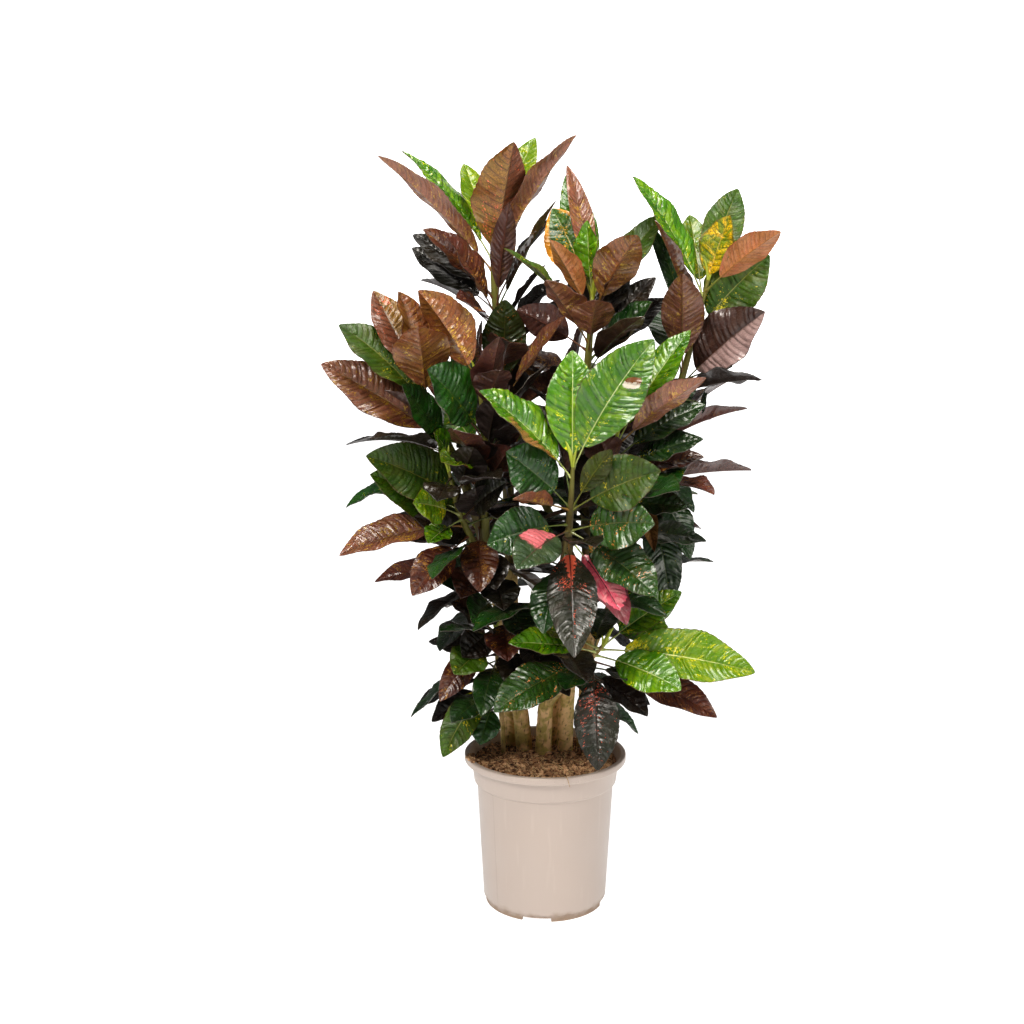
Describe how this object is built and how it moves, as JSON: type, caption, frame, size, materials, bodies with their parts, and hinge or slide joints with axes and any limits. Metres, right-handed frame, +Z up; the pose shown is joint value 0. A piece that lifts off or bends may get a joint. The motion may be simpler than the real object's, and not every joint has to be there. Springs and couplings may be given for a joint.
{
  "type": "potted croton",
  "caption": "Bushy croton with broad glossy green, copper, maroon and pink leaves on woody canes, standing in soil in a round tapered nursery pot.",
  "frame": {"origin": "on the floor, on the pot's axis, under the middle of the whole plant", "axes": "+Z up along the pot's axis, the front of the plant towards -Y, +X to the right seen from the front"},
  "size_m": [0.6273, 0.4584, 1.1179],
  "materials": {
    "pot_plastic": "satin taupe moulded plastic, dusty at the foot",
    "peat": "loose brown peat with pale fibres",
    "leaf": "glossy quilted leaf, green to copper, maroon and pink, with its stem",
    "bark": "flaky tan and olive bark with leaf scars"
  },
  "bodies": {
    "root": {"pot": "pot_plastic", "soil": "peat", "cane_front": "leaf", "cane_right": "leaf", "cane_left": "leaf", "cane_tall": "leaf", "cane_middle": "leaf", "cane_back": "leaf", "cane_thin": "leaf"}
  },
  "joints": []
}
